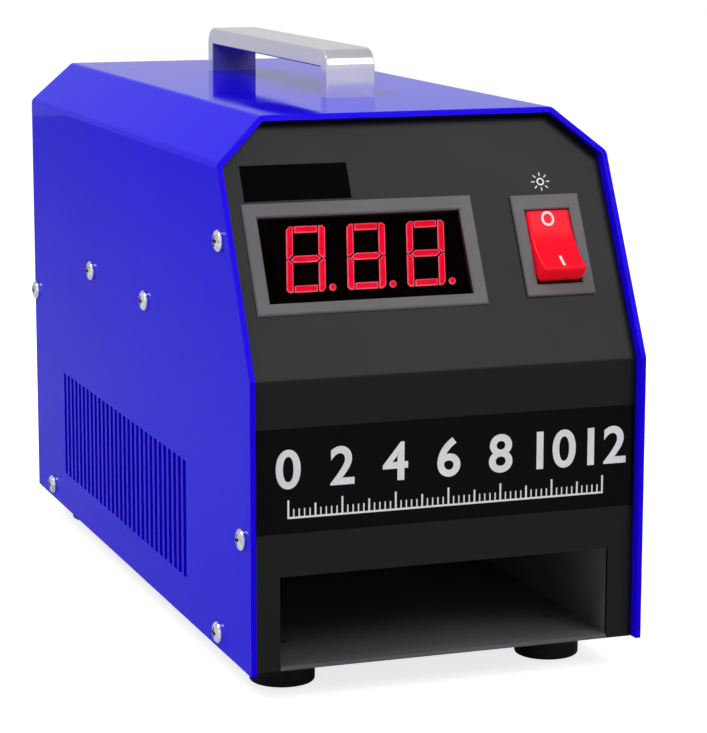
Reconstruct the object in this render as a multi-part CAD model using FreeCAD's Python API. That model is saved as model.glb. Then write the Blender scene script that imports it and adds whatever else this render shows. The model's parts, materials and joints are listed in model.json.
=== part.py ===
# A table-top flash exposure machine for rubber stamps, in millimetres.
# Everything is drawn with x to the right, y to the rear and z up, from the middle of the cover's
# lower front edge. save() then moves it so that z = 0 is the table and the cover is centred.
import FreeCAD, Part
import math, os
from FreeCAD import Placement, Rotation, Vector

os.makedirs("parts", exist_ok=True)

# Cover
cover_width = 150.0
cover_length = 322.0
cover_height = 192.0
cover_sheet = 2.0
shoulder_width = 18.7
shoulder_drop = 16.1
nose_height = 104.8
nose_setback = 45.5
bend_radius = 1.0

# Slots in the cover's sides
vent_count = 29
vent_pitch = 6.65
vent_width = 4.1
vent_start = 81.8
vent_low = 16.0
vent_high = 61.0

# Inner sheets
sheet = 1.5
fit = 0.25
panel_recess = 4.0
panel_flange = 14.0
rear_recess = 12.0
pan_lip = 12.0

# Feet
foot_diameter = 24.0
foot_height = 12.5
foot_rounding = 1.0
foot_inset = 22.6
front_foot_y = 34.4
rear_foot_margin = 21.8

# Screws
screw_diameter = 4.0
screw_head = 8.0
screw_head_height = 2.4
screw_head_rim = 1.0
screw_head_crown = 4.6
screw_length = 8.0
thread_gap = 0.05
screw_play = 0.3
panel_screw_low = 47.6
panel_screw_high = 149.6
panel_screw_depth = 5.0
pan_screw_height = 6.3
pan_screw_front = 38.0
pan_screw_rear_margin = 30.0
rear_screw_margin = 5.0
rear_screw_height = 90.8

# Exposure chamber
mouth_side = 12.0
mouth_height = 34.0
chamber_depth = 146.0
chamber_headroom = 1.0
hood_sheet = 1.2
hood_flange = 5.5
glass_thickness = 3.0
glass_overlap = 5.0
window_frame = 12.0

# Flash lamps
tube_diameter = 10.0
tube_end_room = 7.0
cap_diameter = 9.0
cap_length = 15.0
lamp_spacing = 64.0
reflector_sheet = 0.8
reflector_side = 10.0
trough_height = 28.0
trough_floor = 24.0
trough_mouth = 52.0
ridge_height = 8.0
reflector_lip = 10.0
end_plate_sheet = 1.0
end_plate_lip = 8.0
socket_size = 16.0
socket_depth = 10.0
clip_width = 8.0
clip_sheet = 1.0

# Shelf and what stands on it
shelf_front = 114.0
shelf_length = 122.0
shelf_screw_height = 113.4
shelf_screw_inset = 19.2
shelf_drop = 14.0
can_diameter = 35.0
can_height = 58.0
can_side = 38.75
can_spacing = 52.0
can_rounding = 2.0
can_stud_diameter = 4.0
can_stud_height = 2.0
can_stud_spacing = 14.0
clamp_sheet = 1.0
clamp_height = 14.0
clamp_ear = 10.0

# Printed boards
board_thickness = 1.6
spacer_diameter = 5.5
spacer_height = 8.0
control_board_width = 54.0
control_board_length = 100.0
charging_board_width = 60.0
charging_board_length = 92.0
board_edge = 5.0
board_row = 22.0
relay_width = 15.5
relay_length = 19.0
relay_height = 15.0
coil_width = 20.0
coil_length = 16.0
coil_cheek = 2.0
coil_diameter = 13.0
coil_height = 18.0
rectifier_x = -16.0
rectifier_thickness = 6.0
rectifier_width = 24.0
rectifier_height = 16.0
terminal_x = 18.0
terminal_count = 5
terminal_pitch = 5.0
terminal_depth = 10.0
terminal_height = 10.0
terminal_well = 3.6
terminal_well_depth = 3.0
sink_height = 32.0
sink_base = 4.0
fin_count = 8
fin_pitch = 6.0
fin_thickness = 2.0
fin_depth = 12.0

# Mains transformer
core_length = 66.0
core_height = 55.0
core_stack = 26.0
core_limb = 11.0
winding_wall = 9.5
strap_sheet = 1.0
strap_width = 22.0
strap_ear = 11.0
transformer_y = 208.0
transformer_side = 30.75

# Display
bezel_width = 86.8
bezel_height = 41.6
bezel_rise = 0.5
bezel_proud = 1.0
bezel_bevel = 0.5
window_width = 76.6
window_height = 32.1
display_x = -23.9
display_v = 44.0
display_depth = 13.0
display_wall = 1.5
window_thickness = 1.5
digit_count = 3
digit_height = 24.5
digit_width = 14.4
digit_pitch = 22.65
digit_shift = 0.95
digit_rise = 0.9
digit_slant = 8.1
digit_bar = 2.4
digit_gap = 0.6
digit_point = 1.25
digit_point_gap = 1.4
digit_corner = 1.0
digit_relief = 0.6
block_depth = 7.0

# Exposure switch
switch_width = 26.4
switch_height = 38.6
switch_proud = 1.5
switch_bevel = 0.4
switch_x = 48.2
switch_v = 44.8
switch_depth = 18.0
switch_wall = 1.6
rocker_drop = 0.7
rocker_reach = 14.0
rocker_draft = 0.9
rocker_width = 17.0
rocker_tilt = 15.0
rocker_corner = 23.0
rocker_dish = 2.4
rocker_heel = 12.0
rocker_stub = 4.4
rocker_edge = 0.5
trunnion_diameter = 2.0
trunnion_length = 1.4
rocker_gap = 0.35
blade_width = 6.3
blade_thickness = 0.8
blade_length = 9.0

# Label strip
label_low = 49.6
label_high = 86.9
label_thickness = 0.4
label_margin = 0.5

# Carry handle
handle_width = 19.5
handle_front = 107.1
handle_length = 157.1
handle_height = 18.4
handle_bar = 7.1
handle_bend = 7.6
handle_edge = 0.5
washer_diameter = 10.0
washer_thickness = 0.8
handle_screw_length = 12.0

# Cooling fan
fan_size = 80.0
fan_depth = 25.0
fan_z = 128.0
fan_wall = 2.0
fan_hole_inset = 4.25
fan_corner = 4.0
fan_flange = 4.0
fan_waist_wall = 2.5
hub_diameter = 34.0
hub_gap = 0.6
blade_count = 7
blade_clearance = 1.2
fan_blade_sheet = 1.6
root_pitch = 48.0
tip_pitch = 30.0
root_chord = 20.0
tip_chord = 30.0
hub_wall = 2.0
rotor_inset = 2.0
shaft_diameter = 3.0
shaft_gap = 0.05
bearing_diameter = 9.0
bearing_length = 17.5
strut_count = 4
strut_width = 4.0
strut_depth = 2.0
guard_wire = 1.6
guard_rings = 5
guard_eye = 9.0
nut_across = 7.0
nut_height = 3.2
screw_tail = 1.5

# Mains inlet module
inlet_width = 48.0
inlet_height = 60.0
inlet_flange = 2.5
inlet_corner = 3.0
inlet_z = 46.0
inlet_body_width = 32.0
inlet_body_height = 54.0
inlet_depth = 28.0
socket_width = 24.0
socket_height = 16.5
socket_bevel = 5.0
socket_bottom = 17.0
socket_z = -2.0
pin_width = 4.0
pin_thickness = 2.0
pin_length = 11.0
pin_spacing = 7.0
pin_rise = 2.0
drawer_width = 19.0
drawer_height = 6.4
drawer_z = -18.0
drawer_depth = 22.0
drawer_lip = 1.2
drawer_face = 1.2
drawer_wall = 1.0
drawer_play = 0.2
fuse_length = 15.0
fuse_diameter = 4.0
fuse_cap = 4.0
power_rocker_reach = 12.6
power_rocker_width = 9.6
power_rocker_z = 17.5
power_rocker_tilt = 11.0
power_rocker_corner = 22.0
power_rocker_dish = 1.4
power_switch_depth = 14.0
inlet_screw_spacing = 40.0

# Values that follow from the sizes above
mouth_width = cover_width - 2 * mouth_side
reflector_length = mouth_width - 2 * reflector_side
tube_length = reflector_length - 2 * tube_end_room
fan_bore = fan_size - 2 * fan_wall
fan_waist = fan_bore + 2 * fan_waist_wall
fan_hole_spacing = fan_size - 2 * fan_hole_inset
lean = math.atan2(nose_setback, cover_height - nose_height)
inner_half = cover_width / 2 - cover_sheet - fit
transformer_x = transformer_side - inner_half
can_x = can_side - inner_half
fold_z = nose_height - panel_recess * math.tan(lean / 2)
roof_z = sheet + mouth_height + chamber_headroom
glass_z = roof_z + hood_sheet
lamp_base = glass_z + glass_thickness
chamber_front = panel_recess + sheet + fit
chamber_rear = chamber_front + chamber_depth
lamp_middle = (chamber_front + chamber_rear) / 2
shelf_top = shelf_screw_height + shelf_drop / 2
rear_face = cover_length - rear_recess
lamp_z = lamp_base + trough_height / 2
hood_half = mouth_width / 2 + hood_sheet
glass_half = hood_half - hood_sheet - fit

X = Vector(1, 0, 0)
Y = Vector(0, 1, 0)
Z = Vector(0, 0, 1)
slope_frame = Placement(Vector(0, panel_recess, fold_z), Rotation(X, 90 - math.degrees(lean)))
rear_frame = Placement(Vector(0, rear_face, 0), Rotation(Z, 180).multiply(Rotation(X, 90)))


def save(name, *shapes):
    """Writes one node, moved into the part's own frame."""
    solids = [solid for shape in shapes for solid in shape.Solids]
    shape = solids[0] if len(solids) == 1 else Part.makeCompound(solids)
    shape = shape.copy()
    shape.translate(Vector(0, -cover_length / 2, foot_height))
    shape.exportStep("parts/" + name + ".step")


def box(x0, x1, y0, y1, z0, z1):
    """A block between two corners."""
    return Part.makeBox(x1 - x0, y1 - y0, z1 - z0, Vector(x0, y0, z0))


def plate(x, y, width, height, low, high):
    """A rectangle about x, y in a local frame, from z = low to z = high."""
    return box(x - width / 2, x + width / 2, y - height / 2, y + height / 2, low, high)


def rod(start, direction, diameter, length):
    return Part.makeCylinder(diameter / 2, length, start, direction)


def fused(first, *others):
    return first.multiFuse(list(others)).removeSplitter()


def cut(shape, *tools):
    return shape.cut(Part.makeCompound(list(tools)))


def placed(shape, frame):
    return shape.transformed(frame.toMatrix(), True)


def moved(shape, x=0.0, y=0.0, z=0.0):
    return placed(shape, Placement(Vector(x, y, z), Rotation()))


def mirrored(shape):
    """The same piece on the other side of the machine's middle plane."""
    return shape.mirror(Vector(0, 0, 0), X)


def in_plane(axis, at, point):
    """A point of a flat outline, on the plane where the named axis equals at."""
    a, b = point
    return {"x": Vector(at, a, b), "y": Vector(a, at, b), "z": Vector(a, b, at)}[axis]


def outline_face(points, radii):
    """A flat face with straight sides and a tangent arc of the given radius at each corner."""
    count = len(points)
    arcs = []
    for i, (corner, radius) in enumerate(zip(points, radii)):
        to_last = (points[i - 1] - corner).normalize()
        to_next = (points[(i + 1) % count] - corner).normalize()
        half = to_last.getAngle(to_next) / 2
        reach = radius / math.tan(half)
        middle = corner + (to_last + to_next).normalize() * (radius / math.sin(half) - radius)
        arcs.append((corner + to_last * reach, middle, corner + to_next * reach))
    edges = []
    for i, (start, middle, end) in enumerate(arcs):
        if radii[i] > 0:
            edges.append(Part.Arc(start, middle, end).toShape())
        following = arcs[(i + 1) % count][0]
        if end.distanceToPoint(following) > 1e-6:
            edges.append(Part.LineSegment(end, following).toShape())
    return Part.Face(Part.Wire(edges))


def prism(axis, start, end, points, radii=None):
    """An outline drawn across an axis and run along it from start to end."""
    corners = [in_plane(axis, start, point) for point in points]
    face = outline_face(corners, radii or [0.0] * len(corners))
    return face.extrude({"x": X, "y": Y, "z": Z}[axis] * (end - start))


def offset_path(path, distance):
    """An open path moved to its left, with mitred corners."""
    result = []
    for i, (a, b) in enumerate(path):
        before = path[max(i - 1, 0)]
        after = path[min(i + 1, len(path) - 1)]
        normals = []
        for p, q in ((before, path[i]), (path[i], after)):
            run = math.dist(p, q)
            if run > 0:
                normals.append(((p[1] - q[1]) / run, (q[0] - p[0]) / run))
        n, m = normals[0], normals[-1]
        scale = distance / (1 + n[0] * m[0] + n[1] * m[1])
        result.append((a + (n[0] + m[0]) * scale, b + (n[1] + m[1]) * scale))
    return result


def folded(axis, start, end, path, thickness, bend):
    """Sheet metal folded along a path, with its thickness on the path's left."""
    other = offset_path(path, thickness)
    near, far = [0.0], [0.0]
    for p, q, r in zip(path, path[1:], path[2:]):
        turn = (q[0] - p[0]) * (r[1] - q[1]) - (q[1] - p[1]) * (r[0] - q[0])
        near.append(bend + thickness if turn > 0 else bend)
        far.append(bend if turn > 0 else bend + thickness)
    near.append(0.0)
    far.append(0.0)
    return prism(axis, start, end, path + other[::-1], near + far[::-1])


def rounded_plate(x, y, width, height, low, high, radius):
    a, b = width / 2, height / 2
    corners = [(x - a, y - b), (x + a, y - b), (x + a, y + b), (x - a, y + b)]
    return prism("z", low, high, corners, [radius] * 4)


def bevelled(shape, height, size):
    """The shape with its edges at this height of a local frame cut back at 45 degrees."""
    rims = [edge for edge in shape.Edges if edge.BoundBox.ZMin > height - fit]
    return shape.makeChamfer(size, rims)


def pan_head_screw(seat, direction, length):
    """A pan head on its seat, with the plain shank below it."""
    shank, rim, crown = screw_diameter / 2, screw_head / 2, screw_head_crown / 2
    profile = [Vector(0, 0, -length), Vector(shank, 0, -length), Vector(shank, 0, 0),
               Vector(rim, 0, 0), Vector(rim, 0, screw_head_rim),
               Vector(crown, 0, screw_head_height), Vector(0, 0, screw_head_height)]
    outline = Part.makePolygon(profile + profile[:1])
    screw = Part.Face(outline).revolve(Vector(), Z, 360)
    return placed(screw, Placement(seat, Rotation(Z, direction)))


def cover_path():
    """The cover's outer skin, seen from the front, from lower right over the top to lower left."""
    half = cover_width / 2
    shoulder = cover_height - shoulder_drop
    top = half - shoulder_width
    right = [(half, 0), (half, shoulder), (top, cover_height)]
    return right + [(-x, z) for x, z in right[::-1]]


def inside_cover(gap, start, end):
    """The room inside the cover, this far from its inner faces."""
    return prism("y", start, end, offset_path(cover_path(), cover_sheet + gap))


def side_screw_places():
    """Height and depth of the screws in each side: panel, pan, shelf and rear panel."""
    face_y = panel_recess + max(0.0, panel_screw_high - fold_z) * math.tan(lean)
    return {
        "panel_low": (panel_recess + panel_screw_depth, panel_screw_low),
        "panel_high": (face_y + panel_screw_depth / math.cos(lean), panel_screw_high),
        "pan_front": (pan_screw_front, pan_screw_height),
        "pan_rear": (cover_length - pan_screw_rear_margin, pan_screw_height),
        "shelf_front": (shelf_front + shelf_screw_inset, shelf_screw_height),
        "shelf_rear": (shelf_front + shelf_length - shelf_screw_inset, shelf_screw_height),
        "rear": (cover_length - rear_screw_margin, rear_screw_height),
    }


def side_holes(names, diameter):
    """Holes straight across the machine at the named side screws."""
    places = side_screw_places()
    half = cover_width / 2 + 1
    return [rod(Vector(-half, *places[name]), X, diameter, 2 * half) for name in names]


def handle_screw_places():
    inset = handle_bar / 2
    return [handle_front + inset, handle_front + handle_length - inset]


def foot_places():
    across = cover_width / 2 - foot_inset
    rows = (front_foot_y, cover_length - rear_foot_margin)
    return [Vector(side * across, y, 0) for side in (-1, 1) for y in rows]


def make_cover():
    shell = folded("y", 0, cover_length, cover_path(), cover_sheet, bend_radius)
    above = cover_height + cover_sheet
    setback = (above - nose_height) * math.tan(lean)
    nose = [(-1, nose_height), (0, nose_height), (setback, above), (-1, above)]
    tools = [prism("x", -cover_width, cover_width, nose)]
    for i in range(vent_count):
        y = vent_start + i * vent_pitch - vent_width / 2
        tools.append(box(-cover_width, cover_width, y, y + vent_width, vent_low, vent_high))
    tools += side_holes(side_screw_places(), screw_diameter + screw_play)
    for y in handle_screw_places():
        tools.append(rod(Vector(0, y, cover_height - 2 * cover_sheet), Z,
                         screw_diameter + screw_play, 3 * cover_sheet))
    save("cover_shell", cut(shell, *tools))


def slope_end():
    """Where the leaning panel meets the underside of the cover, as y and z."""
    top = cover_height - cover_sheet - fit
    return panel_recess + (top - fold_z) * math.tan(lean), top


def make_front_panel():
    top_y, top_z = slope_end()
    path = [(top_y + panel_flange, top_z), (top_y, top_z), (panel_recess, fold_z), (panel_recess, 0)]
    skin = folded("x", -inner_half, inner_half, path, sheet, bend_radius)
    skin = skin.common(inside_cover(fit, 0, cover_length))
    low = pan_lip + fit
    high = cover_height - shoulder_drop - sheet
    high_y = panel_recess + (high - fold_z) * math.tan(lean)
    edge = [(high_y, high), (panel_recess, fold_z), (panel_recess, low)]
    back = offset_path(edge, panel_flange)
    flange = prism("x", inner_half - sheet, inner_half, edge + back[::-1])
    panel = fused(skin, flange, mirrored(flange))
    mouth = box(-mouth_width / 2, mouth_width / 2, 0, panel_recess + 2 * sheet, -1, mouth_height)
    tools = [mouth]
    for x, v, (width, height) in ((display_x, display_v, display_body()),
                                  (switch_x, switch_v - rocker_drop, switch_body())):
        hole = plate(x, v, width + fit, height + fit, -2 * sheet, 2 * sheet)
        tools.append(placed(hole, slope_frame))
    tools += side_holes(("panel_low", "panel_high"), screw_diameter + thread_gap)
    save("front_panel", cut(panel, *tools))


def make_label_strip():
    half = inner_half - label_margin
    save("label_strip", box(-half, half, panel_recess - label_thickness, panel_recess,
                            label_low, label_high))


def make_base_pan():
    path = [(-inner_half, pan_lip), (-inner_half, 0), (inner_half, 0), (inner_half, pan_lip)]
    start = panel_recess + panel_flange + fit
    pan = folded("y", start, cover_length - fit, path, sheet, bend_radius)
    front = box(-inner_half, inner_half, chamber_front, start, 0, sheet)
    tongue_half = mouth_width / 2 - fit
    tongue = box(-tongue_half, tongue_half, panel_recess, chamber_front, 0, sheet)
    pan = fused(pan, front, tongue)
    holes = [rod(place - Z, Z, screw_diameter + thread_gap, 3 * sheet) for place in foot_places()]
    holes += side_holes(("pan_front", "pan_rear"), screw_diameter + thread_gap)
    for place in transformer_ears():
        holes.append(rod(place - Z, Z, screw_diameter + thread_gap, 3 * sheet))
    save("base_pan", cut(pan, *holes))


def make_feet():
    recess = foot_height / 2
    feet, screws = [], []
    for place in foot_places():
        foot = rod(place, Z * -1, foot_diameter, foot_height)
        rim = [edge for edge in foot.Edges if edge.BoundBox.ZMax < -foot_height + 0.01]
        foot = foot.makeFillet(foot_rounding, rim[:1])
        well = rod(place - Z * foot_height, Z, screw_head + 2 * screw_play, recess)
        hole = rod(place - Z * foot_height, Z, screw_diameter + screw_play, foot_height)
        feet.append(cut(foot, well, hole))
        seat = place - Z * (foot_height - recess)
        screws.append(pan_head_screw(seat, Z * -1, foot_height - recess + sheet))
    save("rubber_feet", *feet)
    save("foot_screws", *screws)


def make_side_screws():
    half = cover_width / 2
    for name, side in (("left", -1), ("right", 1)):
        seats = [Vector(side * half, *place) for place in side_screw_places().values()]
        screws = [pan_head_screw(seat, X * side, screw_length) for seat in seats]
        save("side_screws_" + name, *screws)


def make_chamber():
    half = mouth_width / 2
    shell = box(-hood_half, hood_half, chamber_front, chamber_rear, sheet, glass_z)
    room = box(-half, half, chamber_front - 1, chamber_rear - hood_sheet, 0, roof_z)
    window = box(window_frame - half, half - window_frame, chamber_front + window_frame,
                 chamber_rear - window_frame, roof_z - 1, glass_z + 1)
    hood = cut(shell, room, window)
    foot = box(hood_half, hood_half + hood_flange, chamber_front + panel_flange, chamber_rear,
               sheet, sheet + hood_sheet)
    back = box(-hood_half, hood_half, chamber_rear, chamber_rear + hood_flange, sheet,
               sheet + hood_sheet)
    save("chamber_hood", fused(hood, foot, mirrored(foot), back))
    margin = window_frame - glass_overlap
    save("chamber_glass", box(-glass_half, glass_half, chamber_front + margin,
                              chamber_rear - margin, glass_z, lamp_base))


def lamp_rows():
    return [lamp_middle - lamp_spacing / 2, lamp_middle + lamp_spacing / 2]


def make_reflector():
    """Two open troughs side by side, folded from one bright sheet."""
    path = []
    for y in lamp_rows():
        mouth, floor = trough_mouth / 2, trough_floor / 2
        path += [(y - mouth, lamp_base), (y - floor, lamp_base + trough_height),
                 (y + floor, lamp_base + trough_height), (y + mouth, lamp_base)]
    path[3] = (path[3][0], lamp_base + ridge_height)
    path[4] = (path[4][0], lamp_base + ridge_height)
    path.insert(0, (path[0][0] - reflector_lip, lamp_base))
    path.append((path[-1][0] + reflector_lip, lamp_base))
    half = reflector_length / 2
    save("lamp_reflector", folded("x", -half, half, path, reflector_sheet, bend_radius))


def make_lamps():
    face = reflector_length / 2 + fit / 2
    span = lamp_spacing / 2 + trough_mouth / 2
    front, rear = lamp_middle - span, lamp_middle + span
    top = lamp_base + trough_height + 2 * reflector_sheet
    path = [(face, top), (face, lamp_base), (face + end_plate_lip, lamp_base)]
    end_plate = folded("y", front, rear, path, end_plate_sheet, end_plate_sheet)
    tubes, caps, sockets, holes = [], [], [], []
    for y in lamp_rows():
        tubes.append(rod(Vector(-tube_length / 2, y, lamp_z), X, tube_diameter, tube_length))
        cap = rod(Vector(tube_length / 2, y, lamp_z), X, cap_diameter, cap_length)
        holes.append(rod(Vector(tube_length / 2, y, lamp_z), X, cap_diameter + fit, cap_length))
        half = socket_size / 2
        socket_face = face + end_plate_sheet
        socket = box(socket_face, socket_face + socket_depth, y - half, y + half,
                     lamp_z - half, lamp_z + half)
        socket = cut(socket, holes[-1])
        caps += [cap, mirrored(cap)]
        sockets += [socket, mirrored(socket)]
    end_plate = cut(end_plate, *holes)
    save("reflector_end_plates", end_plate, mirrored(end_plate))
    save("flash_tubes", *tubes)
    save("tube_end_caps", *caps)
    save("tube_sockets", *sockets)
    lip = lamp_base + end_plate_sheet
    reach = (reflector_length + end_plate_lip) / 2
    path = [(reach, lip), (hood_half, lip), (hood_half, glass_z / 2)]
    clips = []
    for y in (front + clip_width, rear - 2 * clip_width):
        clip = folded("y", y, y + clip_width, path, clip_sheet, clip_sheet / 2)
        clips += [clip, mirrored(clip)]
    save("hold_down_clips", *clips)


def make_shelf():
    low, high = shelf_top - shelf_drop, shelf_top
    path = [(inner_half, low), (inner_half, high), (-inner_half, high), (-inner_half, low)]
    shelf = folded("y", shelf_front, shelf_front + shelf_length, path, sheet, bend_radius)
    holes = side_holes(("shelf_front", "shelf_rear"), screw_diameter + thread_gap)
    save("inner_shelf", cut(shelf, *holes))


def make_capacitors():
    cans, clamps = [], []
    middle = shelf_front + shelf_length / 2
    for y in (middle - can_spacing / 2, middle + can_spacing / 2):
        place = Vector(can_x, y, shelf_top)
        can = rod(place, Z, can_diameter, can_height)
        edges = [edge for edge in can.Edges if edge.BoundBox.ZMin > shelf_top + can_height - 0.01]
        can = can.makeChamfer(can_rounding, edges[:1])
        studs = [rod(place + X * side * can_stud_spacing / 2 + Z * can_height, Z,
                     can_stud_diameter, can_stud_height) for side in (-1, 1)]
        cans.append(fused(can, *studs))
        ring = rod(place, Z, can_diameter + 2 * clamp_sheet, clamp_height)
        reach = can_diameter / 2 + clamp_ear
        ears = plate(place.x, place.y, 2 * reach, clamp_ear, place.z, place.z + clamp_sheet)
        clamp = cut(fused(ring, ears), rod(place - Z, Z, can_diameter, clamp_height + 2))
        clamps.append(clamp)
    save("storage_capacitors", *cans)
    save("capacitor_clamps", *clamps)


def board_with_spacers(x, y, z, width, length):
    """A board on four spacers: returns the board and the list of spacers."""
    top = z + spacer_height
    board = plate(x, y, width, length, top, top + board_thickness)
    spacers = []
    for a in (-1, 1):
        for b in (-1, 1):
            corner = Vector(x + a * (width / 2 - board_edge), y + b * (length / 2 - board_edge), z)
            spacers.append(rod(corner, Z, spacer_diameter, spacer_height))
    return board, spacers


def make_boards():
    shelf_middle = shelf_front + shelf_length / 2
    x = inner_half / 2 - board_edge / 2
    upper, spacers = board_with_spacers(x, shelf_middle, shelf_top, control_board_width,
                                        control_board_length)
    top = shelf_top + spacer_height + board_thickness
    save("control_board", upper)
    save("trigger_transformer", trigger_coil(x, shelf_middle + board_row, top))
    save("timer_relay", plate(x, shelf_middle - board_row, relay_width, relay_length,
                              top, top + relay_height))
    x, y = inner_half / 2, transformer_y
    lower, more = board_with_spacers(x, y, sheet, charging_board_width, charging_board_length)
    top = sheet + spacer_height + board_thickness
    save("charging_board", lower)
    save("board_spacers", *(spacers + more))
    save("heat_sink", finned_block(x, y + board_row, top))
    save("rectifier", plate(x + rectifier_x, y - board_row, rectifier_thickness, rectifier_width,
                            top, top + rectifier_height))
    save("terminal_block", terminal_strip(x + terminal_x, y - board_row, top))


def trigger_coil(x, y, z):
    """A small potted coil: two cheeks with the winding between them."""
    cheek = plate(x, y, coil_width, coil_length, z, z + coil_cheek)
    coil = rod(Vector(x, y, z + coil_cheek), Z, coil_diameter, coil_height - 2 * coil_cheek)
    return fused(cheek, coil, moved(cheek, z=coil_height - coil_cheek))


def finned_block(x, y, z):
    """An extruded heat sink with upright fins."""
    width = (fin_count - 1) * fin_pitch + fin_thickness
    left, front = x - width / 2, y + sink_base / 2
    base = box(left, left + width, front - sink_base, front, z, z + sink_height)
    fins = [box(left + i * fin_pitch, left + i * fin_pitch + fin_thickness, front,
                front + fin_depth, z, z + sink_height) for i in range(fin_count)]
    return fused(base, *fins)


def terminal_strip(x, y, z):
    """A row of screw terminals with a round well over each screw."""
    length = (terminal_count + 1) * terminal_pitch
    top = z + terminal_height
    block = plate(x, y, terminal_depth, length, z, top)
    first = y - (terminal_count - 1) * terminal_pitch / 2
    wells = [rod(Vector(x, first + i * terminal_pitch, top - terminal_well_depth), Z,
                 terminal_well, 2 * terminal_well_depth) for i in range(terminal_count)]
    return cut(block, *wells)


def transformer_ears():
    reach = core_length / 2 + strap_sheet + strap_ear / 2
    return [Vector(transformer_x, transformer_y + side * reach, 0) for side in (-1, 1)]


def make_transformer():
    x, y, low = transformer_x, transformer_y, sheet
    half_stack = core_stack / 2
    core = box(x - half_stack, x + half_stack, y - core_length / 2, y + core_length / 2,
               low, low + core_height)
    window = core_length / 2 - 2 * core_limb
    room = [box(x - core_stack, x + core_stack, y + side * (core_limb + window / 2) - window / 2,
                y + side * (core_limb + window / 2) + window / 2,
                low + core_limb, low + core_height - core_limb) for side in (-1, 1)]
    save("transformer_core", cut(core, *room))
    bottom, top = low + core_limb + fit, low + core_height - core_limb - fit
    wall = min(winding_wall, window - fit)
    outer = rounded_plate(x, y, core_stack + 2 * winding_wall, 2 * (core_limb + wall),
                          bottom, top, winding_wall / 2)
    limb = plate(x, y, core_stack + fit, 2 * core_limb + fit, bottom - 1, top + 1)
    save("transformer_winding", cut(outer, limb))
    edge = core_length / 2 + fit
    strap = [(y + edge + strap_ear, low + strap_sheet), (y + edge + strap_sheet, low + strap_sheet),
             (y + edge + strap_sheet, low + core_height + fit + strap_sheet)]
    strap += [(2 * y - a, b) for a, b in strap[::-1]]
    half = strap_width / 2
    band = folded("x", x - half, x + half, strap, strap_sheet, strap_sheet / 2)
    holes = [rod(place, Z, screw_diameter + screw_play, 3 * sheet) for place in transformer_ears()]
    save("transformer_strap", cut(band, *holes))
    seat = low + strap_sheet
    screws = [pan_head_screw(place + Z * seat, Z, seat) for place in transformer_ears()]
    save("transformer_screws", *screws)


def display_body():
    """Width and height of the display housing behind the panel."""
    margin = 2 * display_wall + 2 * fit
    return window_width + margin, window_height + margin


def make_display():
    width, height = display_body()
    lip = plate(display_x, display_v + bezel_rise, bezel_width, bezel_height, 0, bezel_proud)
    body = plate(display_x, display_v, width, height, -display_depth, 0)
    well = plate(display_x, display_v, width - 2 * display_wall, height - 2 * display_wall,
                 -display_depth - 1, 0)
    hole = plate(display_x, display_v, window_width, window_height, -1, bezel_proud + 1)
    bezel = bevelled(cut(fused(lip, body), well, hole), bezel_proud, bezel_bevel)
    save("display_bezel", placed(bezel, slope_frame))
    pane = plate(display_x, display_v, width - 2 * display_wall - fit,
                 height - 2 * display_wall - fit, -window_thickness, 0)
    save("display_window", placed(pane, slope_frame))
    face = -window_thickness - digit_relief - fit
    blocks, segments = [], []
    for i in range(digit_count):
        x = display_x + (i - (digit_count - 1) / 2) * digit_pitch
        blocks.append(plate(x, display_v, digit_pitch - fit, window_height, face - block_depth, face))
        segments += [moved(piece, x + digit_shift, display_v + digit_rise)
                     for piece in digit_segments(face)]
    save("digit_blocks", *[placed(block, slope_frame) for block in blocks])
    save("digit_segments", *[placed(piece, slope_frame) for piece in segments])
    back = face - block_depth
    board = plate(display_x, display_v, window_width, window_height, back - board_thickness, back)
    save("display_board", placed(board, slope_frame))


def digit_segments(face):
    """The seven bars and the point of one digit about its middle, leaning to the right."""
    w, h, bar, gap, tip = digit_width, digit_height, digit_bar, digit_gap, digit_corner
    middle, ends, top = h / 2, bar + gap, face + digit_relief
    rate = math.tan(math.radians(digit_slant))
    upright = [(0, middle + gap / 2), (tip, middle + gap / 2), (bar, middle + ends / 2),
               (bar, h), (tip, h), (0, h - tip)]
    across = [(ends, h - bar), (w - ends, h - bar), (w - ends, h), (ends, h)]
    waist = [(tip + gap, middle), (ends, middle - bar / 2), (w - ends, middle - bar / 2),
             (w - tip - gap, middle), (w - ends, middle + bar / 2), (ends, middle + bar / 2)]
    flat = [upright, [(w - a, b) for a, b in upright], [(a, h - b) for a, b in upright],
            [(w - a, h - b) for a, b in upright], across, [(a, h - b) for a, b in across], waist]

    def leaning(a, b):
        return a - w / 2 + (b - middle) * rate, b - middle

    bars = [prism("z", face, top, [leaning(a, b) for a, b in points]) for points in flat]
    x, y = leaning(w + digit_point_gap + digit_point, digit_point)
    return bars + [rod(Vector(x, y, face), Z, 2 * digit_point, digit_relief)]


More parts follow.
